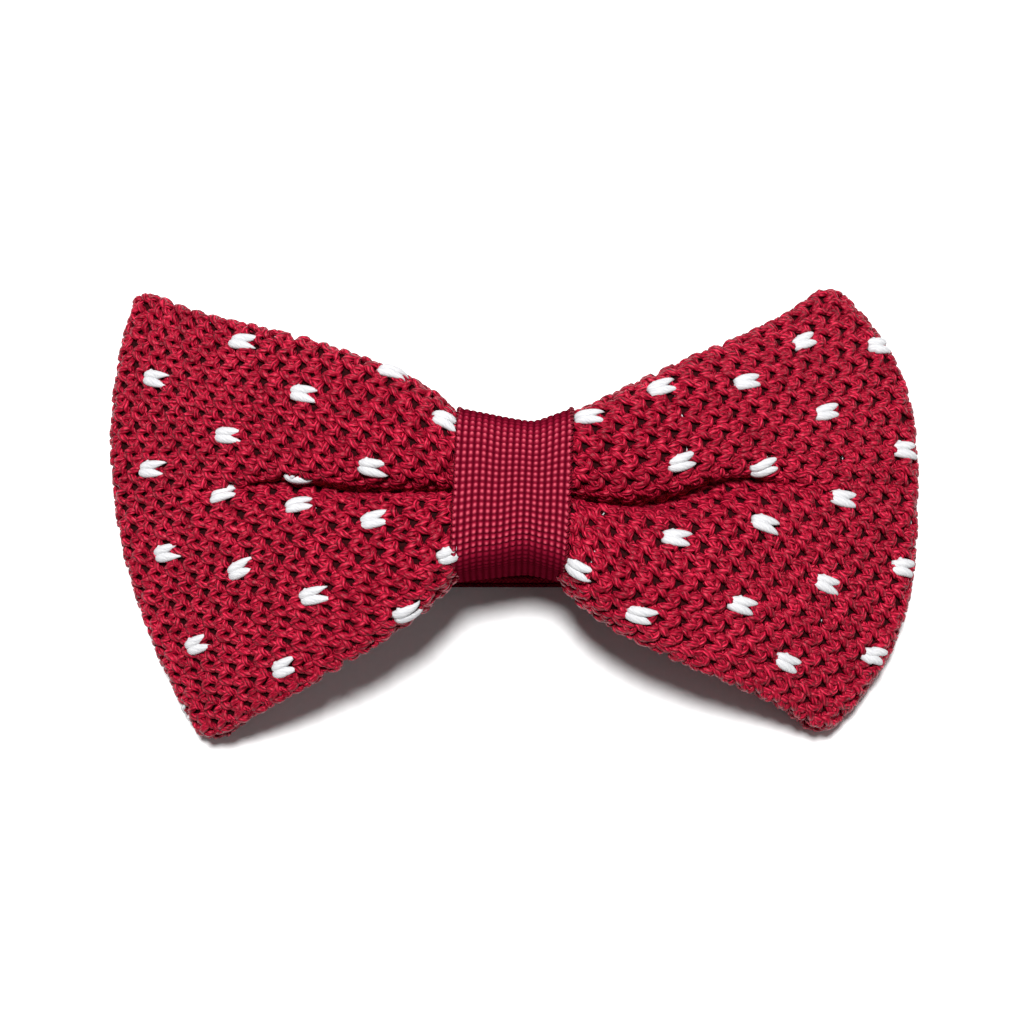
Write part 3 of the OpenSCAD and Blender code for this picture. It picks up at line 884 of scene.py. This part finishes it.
def band_surface():
    """Middle surface of the band, with rows at even steps round it."""
    turn = np.radians(np.linspace(-90 - LAP_TURN, 270 + LAP_TURN, 2400))[:, None]
    x = np.linspace(-BAND_W / 2, BAND_W / 2, CORDS * CORD_FACES + 1)[None, :]
    outset = (BAND_T + 0.1) * ease((np.degrees(turn) - 215) / 20)
    rows = section_point(x, turn, outset)
    rows[..., 0] = np.clip(rows[..., 0], -BAND_W / 2 - 0.6, BAND_W / 2 + 0.6)
    middle = rows[:, rows.shape[1] // 2]
    arc = measured(middle)
    even = np.arange(0, arc[-1], BEAD_PITCH / BEAD_FACES)
    pick = np.interp(even, arc, np.arange(len(arc)))
    low = np.minimum(pick.astype(int), len(arc) - 2)
    return mix(rows[low], rows[low + 1], (pick - low)[:, None, None]), even


def knot_band():
    """Beaded cloth: cords round the knot, each a chain of small rounded stitches."""
    rows, arc = band_surface()
    grad_i, grad_j = np.gradient(rows, axis=(0, 1))
    normals = unit(np.cross(grad_j, grad_i))
    normals *= np.sign(normals[len(normals) // 2, 0, 2])
    x = np.linspace(-BAND_W / 2, BAND_W / 2, rows.shape[1])
    cord = (x / BAND_W + 0.5) * CORDS
    wave = 0.12 * np.sin(x * 1.1 + 0.4)[None] + 0.05 * np.sin(arc * 0.7)[:, None]
    stitch = arc[:, None] / BEAD_PITCH + wave
    across, along = np.abs(np.sin(np.pi * cord))[None], np.abs(np.sin(np.pi * stitch))
    bead = across ** 0.7 * (0.15 + 0.85 * along ** 0.8)
    flat = ease((np.abs(normals[..., 2]) - 0.55) / 0.4)
    top = (BAND_T / 2 - mix(0.14, 0.45, flat) + mix(0.16, 0.62, flat) * bead)[..., None]
    under = np.full_like(top, BAND_T / 2 - 0.1)
    points = slab_points(rows, (top, under), normals)
    stitch = np.concatenate([stitch, stitch[:, ::-1]], axis=1)
    uv = np.stack(np.broadcast_arrays(stitch, np.concatenate([cord, cord[::-1]])[None]), axis=-1)
    faces = slab_faces(*rows.shape[:2])
    piece = make_piece("knot_band_cloth", points.reshape(-1, 3), faces, BEADED, "bow",
                       uv.reshape(-1, 2))
    # Where the band faces up; on its steep slopes the material paints shade on the cords
    painted_face_up_light = np.concatenate([flat, flat[:, ::-1]], axis=1)
    add_uv(piece.data, "Relief", np.stack([painted_face_up_light, 0 * painted_face_up_light], axis=-1).reshape(-1, 2), faces)
    return piece, rows, normals, arc


def band_edges(rows, normals, arc):
    """Selvedge of small slanting stitches down both edges of the band."""
    tubes = Tubes(YARN_SIDES)
    step = 5
    for column, way in ((0, -1), (-1, 1)):
        for i in range(step, len(arc) - step, 6):
            start = rows[i, column] + normals[i, column] * 0.12 + [way * 0.05, 0, 0]
            end = rows[i + step, column] + normals[i + step, column] * 0.3 - [way * 0.42, 0, 0]
            t = np.linspace(0, 1, 6)[:, None]
            path = mix(start, end, t) + normals[i, column] * 0.12 * np.sin(np.pi * t)
            tubes.sweep(path, np.repeat(normals[i:i + 1, column], 6, axis=0),
                        0.2 * np.sin(np.pi * mix(0.15, 0.85, t[:, 0])) ** 0.5)
    return tubes.piece("knot_band_selvedge", BAND, "bow", "crimson_band")


# ---------------------------------------------------------------- neck strap

# Folded strap: how far to the left and right its outer folds are centred, and the Y of its middle
HANK_LEFT = 30
HANK_RIGHT = 32
HANK_Y = -2.8
# Places of the slide and of the bars of hook and eye, and where the tail begins
SLIDE_X = -16
HOOK_X = 9.8
EYE_X = 26.5
TAIL_X = -26
# Sewn loops round those bars
BAR_R = 0.4
BAR_LOOP_R = BAR_R + PLY_GAP + STRAP_T / 2
Z_BAR = Z_LOWER + BAR_LOOP_R
Z_BAR_TOP = Z_BAR + BAR_LOOP_R
# Height of the outer folds' upper ply, where the inner folds are centred on the right, and their plies
HANK_LOW = Z_THROUGH - 2.4
INNER_X = HANK_RIGHT - 3
STORE = [Z_STORE + k * PLY for k in range(4)]
# Half the stretch through the band where the strap's Y is 0, and the run in which it shifts to HANK_Y
LEVEL_HALF = 13
LEVEL_RUN = 15
RIB_PITCH = 0.65
RIB_RISE = 0.13
RIB_FACES = 4
ROUTE_STEP = 0.9


def arc_points(cx, cz, r, start, end, steps):
    """Points of an arc in the XZ plane, from one angle in degrees to another."""
    turn = np.radians(np.linspace(start, end, steps + 1))
    return [[cx + r * math.cos(t), cz + r * math.sin(t)] for t in turn]


def neck_route():
    """From the eye, up through the band, and to and fro behind the wings to the tail."""
    big_r = (HANK_LOW - Z_RUN) / 2
    left_r = (HANK_LOW - STORE[3]) / 2
    last_r = (STORE[0] - Z_RUN) / 2
    slope = mix(HANK_LOW, Z_THROUGH, 0.55)
    return ([[HANK_RIGHT, Z_LOWER], [EYE_X + 1.5, Z_LOWER]]
            + arc_points(EYE_X, Z_BAR, BAR_LOOP_R, -90, -270, 12)
            + [[EYE_X + 1.2, Z_BAR_TOP], [EYE_X + 3, Z_RUN]]
            + arc_points(HANK_RIGHT, Z_RUN + big_r, big_r, -90, 90, 16)
            + [[22, slope], [14, Z_THROUGH], [0, Z_THROUGH], [-14, Z_THROUGH], [-22, slope]]
            + arc_points(-HANK_LEFT, STORE[3] + left_r, left_r, 90, 270, 12)
            + arc_points(INNER_X, STORE[2] + PLY / 2, PLY / 2, 90, -90, 12)
            + arc_points(-HANK_LEFT, STORE[1] + PLY / 2, PLY / 2, 90, 270, 12)
            + arc_points(INNER_X, STORE[0] + PLY / 2, PLY / 2, 90, -90, 12)
            + arc_points(-HANK_LEFT, Z_RUN + last_r, last_r, 90, 270, 14)
            + [[TAIL_X, Z_RUN]])


# Climb of the strap on to the middle bar of the slide, as distance from the bar and height
CLIMB = [[4, Z_RUN], [3, Z_RUN + 0.5], [2, Z_BUMP - 0.45], [1.2, Z_BUMP]]


def tail_route():
    """From the folds on to the slide."""
    return [[TAIL_X, Z_RUN]] + [[SLIDE_X - c, z] for c, z in CLIMB] + [[SLIDE_X, Z_BUMP]]


def loop_route():
    """From the slide to the hook's bar, round it and back."""
    return ([[SLIDE_X, Z_BUMP]] + [[SLIDE_X + c, z] for c, z in CLIMB[::-1]]
            + [[HOOK_X - 4.2, Z_RUN], [HOOK_X - 2.2, Z_BAR_TOP]]
            + arc_points(HOOK_X, Z_BAR, BAR_LOOP_R, 90, -90, 12)
            + [[HOOK_X - 1.5, Z_LOWER], [SLIDE_X + 3, Z_LOWER]])


def adjuster_route():
    """The strap's end, sewn round the middle bar of the slide."""
    return ([[SLIDE_X + 3, Z_LOWER], [SLIDE_X + 2, Z_LOWER], [SLIDE_X + 0.8, Z_RUN]]
            + arc_points(SLIDE_X - 0.2, Z_PLATE, PLATE_T / 2 + PLY_GAP + STRAP_T / 2, -90, -270, 12)
            + [[SLIDE_X + 0.7, Z_OVER_BAR]])


def even_route(route):
    """The route with long stretches cut into even steps, and its corners kept."""
    points = []
    for (x0, z0), (x1, z1) in zip(route, route[1:]):
        count = max(1, round(math.hypot(x1 - x0, z1 - z0) / ROUTE_STEP))
        points += [[mix(x0, x1, k / count), mix(z0, z1, k / count)] for k in range(count)]
    return np.array(points + [route[-1]])


def strap_shift(route, shifted):
    """Y of the strap's middle: HANK_Y, but 0 where a shifted strap passes through the band."""
    if not shifted:
        return np.full(len(route), HANK_Y, float)
    folded = route[:, 1] < HANK_LOW
    return HANK_Y * np.where(folded, 1, ease((np.abs(route[:, 0]) - LEVEL_HALF) / LEVEL_RUN))


def woven_strap(name, route, shifted=True):
    """Flat ribbed strap along a route in the XZ plane, ribs along it on both faces."""
    route = even_route(route)
    ribs = round(STRAP_W / RIB_PITCH)
    across = np.linspace(0.5, -0.5, ribs * RIB_FACES + 1)
    shift = strap_shift(route, shifted)
    y = shift[:, None] + STRAP_W * across[None]
    rows = stacked(route[:, :1], y, route[:, 1:])
    tangent = unit(np.gradient(route, axis=0))
    normal = np.stack([-tangent[:, 1], 0 * tangent[:, 0], tangent[:, 0]], axis=-1)[:, None]
    normals = np.broadcast_to(normal, rows.shape)
    rib = np.abs(np.sin(np.pi * (across + 0.5) * ribs)) ** 0.7
    edge = np.clip((0.5 - np.abs(across)) * STRAP_W / 0.3, 0, 1) ** 0.5
    half = ((STRAP_T / 2 - RIB_RISE) * mix(0.35, 1, edge) + RIB_RISE * rib * edge)[None, :, None]
    half = np.broadcast_to(half, rows.shape[:2] + (1,))
    points = slab_points(rows, (half, half), normals)
    length = measured(route)
    rib_place = (across + 0.5) * ribs
    uv = np.stack(np.broadcast_arrays(length[:, None],
                                      np.concatenate([rib_place, rib_place[::-1]])[None]), axis=-1)
    piece = make_piece(name, points.reshape(-1, 3), slab_faces(*rows.shape[:2]), STRAP, None,
                       uv.reshape(-1, 2))
    return piece, length[-1]


# ---------------------------------------------------------------- build

knit_pieces = knit_yarns(-1) + knit_yarns(1)
stitches = [white_stitches(-1), white_stitches(1)]
inner_shade = inner_shade_sheet()
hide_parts("knitted_bow")
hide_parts("contrast_stitches")

band, band_rows, band_normals, band_arc = knot_band()
selvedge = band_edges(band_rows, band_normals, band_arc)
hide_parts("knot_band")

strap, strap_length = woven_strap("neck_strap_weave", neck_route())
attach(strap, "strap")
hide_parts("neck_strap")
tail, tail_length = woven_strap("strap_tail_weave", tail_route(), False)
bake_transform(tail)
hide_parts("strap_tail")
loop, loop_length = woven_strap("strap_loop_weave", loop_route(), False)
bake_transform(loop)
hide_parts("strap_loop")
turn_piece, _ = woven_strap("adjuster_loop_weave", adjuster_route(), False)
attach(turn_piece, "adjuster")
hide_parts("adjuster_loop")

for node, material in (("loop_seam", THREAD), ("centre_tack", THREAD), ("band_seam", THREAD),
                       ("adjuster_tack", THREAD), ("eye_tack", THREAD),
                       ("slide_adjuster", METAL), ("hook", METAL), ("eye", METAL)):
    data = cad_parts[node].data
    data.materials.clear()
    data.materials.append(material)


# ---------------------------------------------------------------- stage and light

# Half the floor's side, in m
FLOOR_HALF = 8
WORLD_STRENGTH = 0.09


def make_floor():
    mesh = bpy.data.meshes.new("floor")
    half = FLOOR_HALF
    mesh.from_pydata([(-half, -half, 0), (half, -half, 0), (half, half, 0), (-half, half, 0)], [],
                     [(0, 1, 2, 3)])
    n = Nodes("floor paper")
    grain = n.noise(900, 2)
    n.link(n.colours(grain, [(0.3, (0.9, 0.9, 0.9)), (0.7, (0.93, 0.93, 0.93))]),
           n.shader.inputs["Base Color"])
    n.shader.inputs["Roughness"].default_value = 0.9
    mesh.materials.append(n.material)
    floor = bpy.data.objects.new("floor", mesh)
    bpy.context.scene.collection.objects.link(floor)


def area_light(name, place, size, power):
    """A round lamp that faces the tie; place and size in m, power in W."""
    data = bpy.data.lights.new(name, "AREA")
    data.shape = "DISK"
    data.size = size
    data.energy = power
    light = bpy.data.objects.new(name, data)
    light.location = place
    aim = CAMERA_TARGET - Vector(place)
    light.rotation_euler = aim.to_track_quat("-Z", "Y").to_euler()
    bpy.context.scene.collection.objects.link(light)


def make_world():
    world = bpy.data.worlds.new("studio")
    world.use_nodes = True
    background = world.node_tree.nodes["Background"]
    background.inputs["Color"].default_value = (1, 1, 1, 1)
    background.inputs["Strength"].default_value = WORLD_STRENGTH
    bpy.context.scene.world = world


make_floor()
make_world()
area_light("key", (-0.16, 0.68, 3.12), 0.88, 173)
area_light("fill", (1.6, -0.4, 2.4), 2, 4)
bpy.context.scene.view_settings.view_transform = "Standard"
